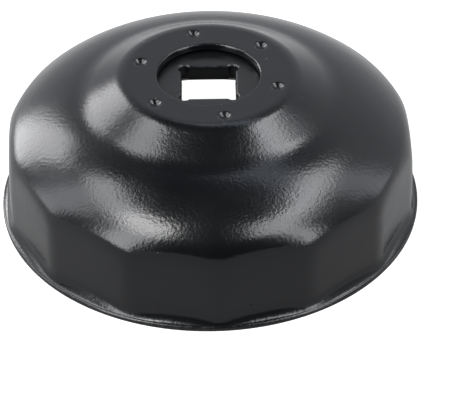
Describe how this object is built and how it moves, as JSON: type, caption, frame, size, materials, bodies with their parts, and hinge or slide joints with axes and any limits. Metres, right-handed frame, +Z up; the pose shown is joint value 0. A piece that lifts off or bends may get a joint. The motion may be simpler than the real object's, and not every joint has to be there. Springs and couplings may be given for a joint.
{
  "type": "oil filter wrench",
  "caption": "Cup-type oil filter wrench: a black pressed-steel cup with a fluted skirt and flared rim, and a square-drive plate welded under its hub.",
  "frame": {"origin": "centre of the rim's bottom plane, on the drive axis", "axes": "+Z up along the drive axis, from the rim towards the hub; X and Y parallel to the sides of the square drive hole, -Y the front"},
  "size_m": [0.0772, 0.077, 0.0284],
  "materials": {
    "cup_coating": "black satin-gloss powder coat with a fine orange peel, over pressed steel",
    "plate_coating": "black satin powder coat over a machined steel plate",
    "weld_coating": "black powder coat over resistance welds"
  },
  "bodies": {
    "root": {"cup_shell": "cup_coating", "drive_plate": "plate_coating", "weld_nuggets": "weld_coating"}
  },
  "joints": []
}
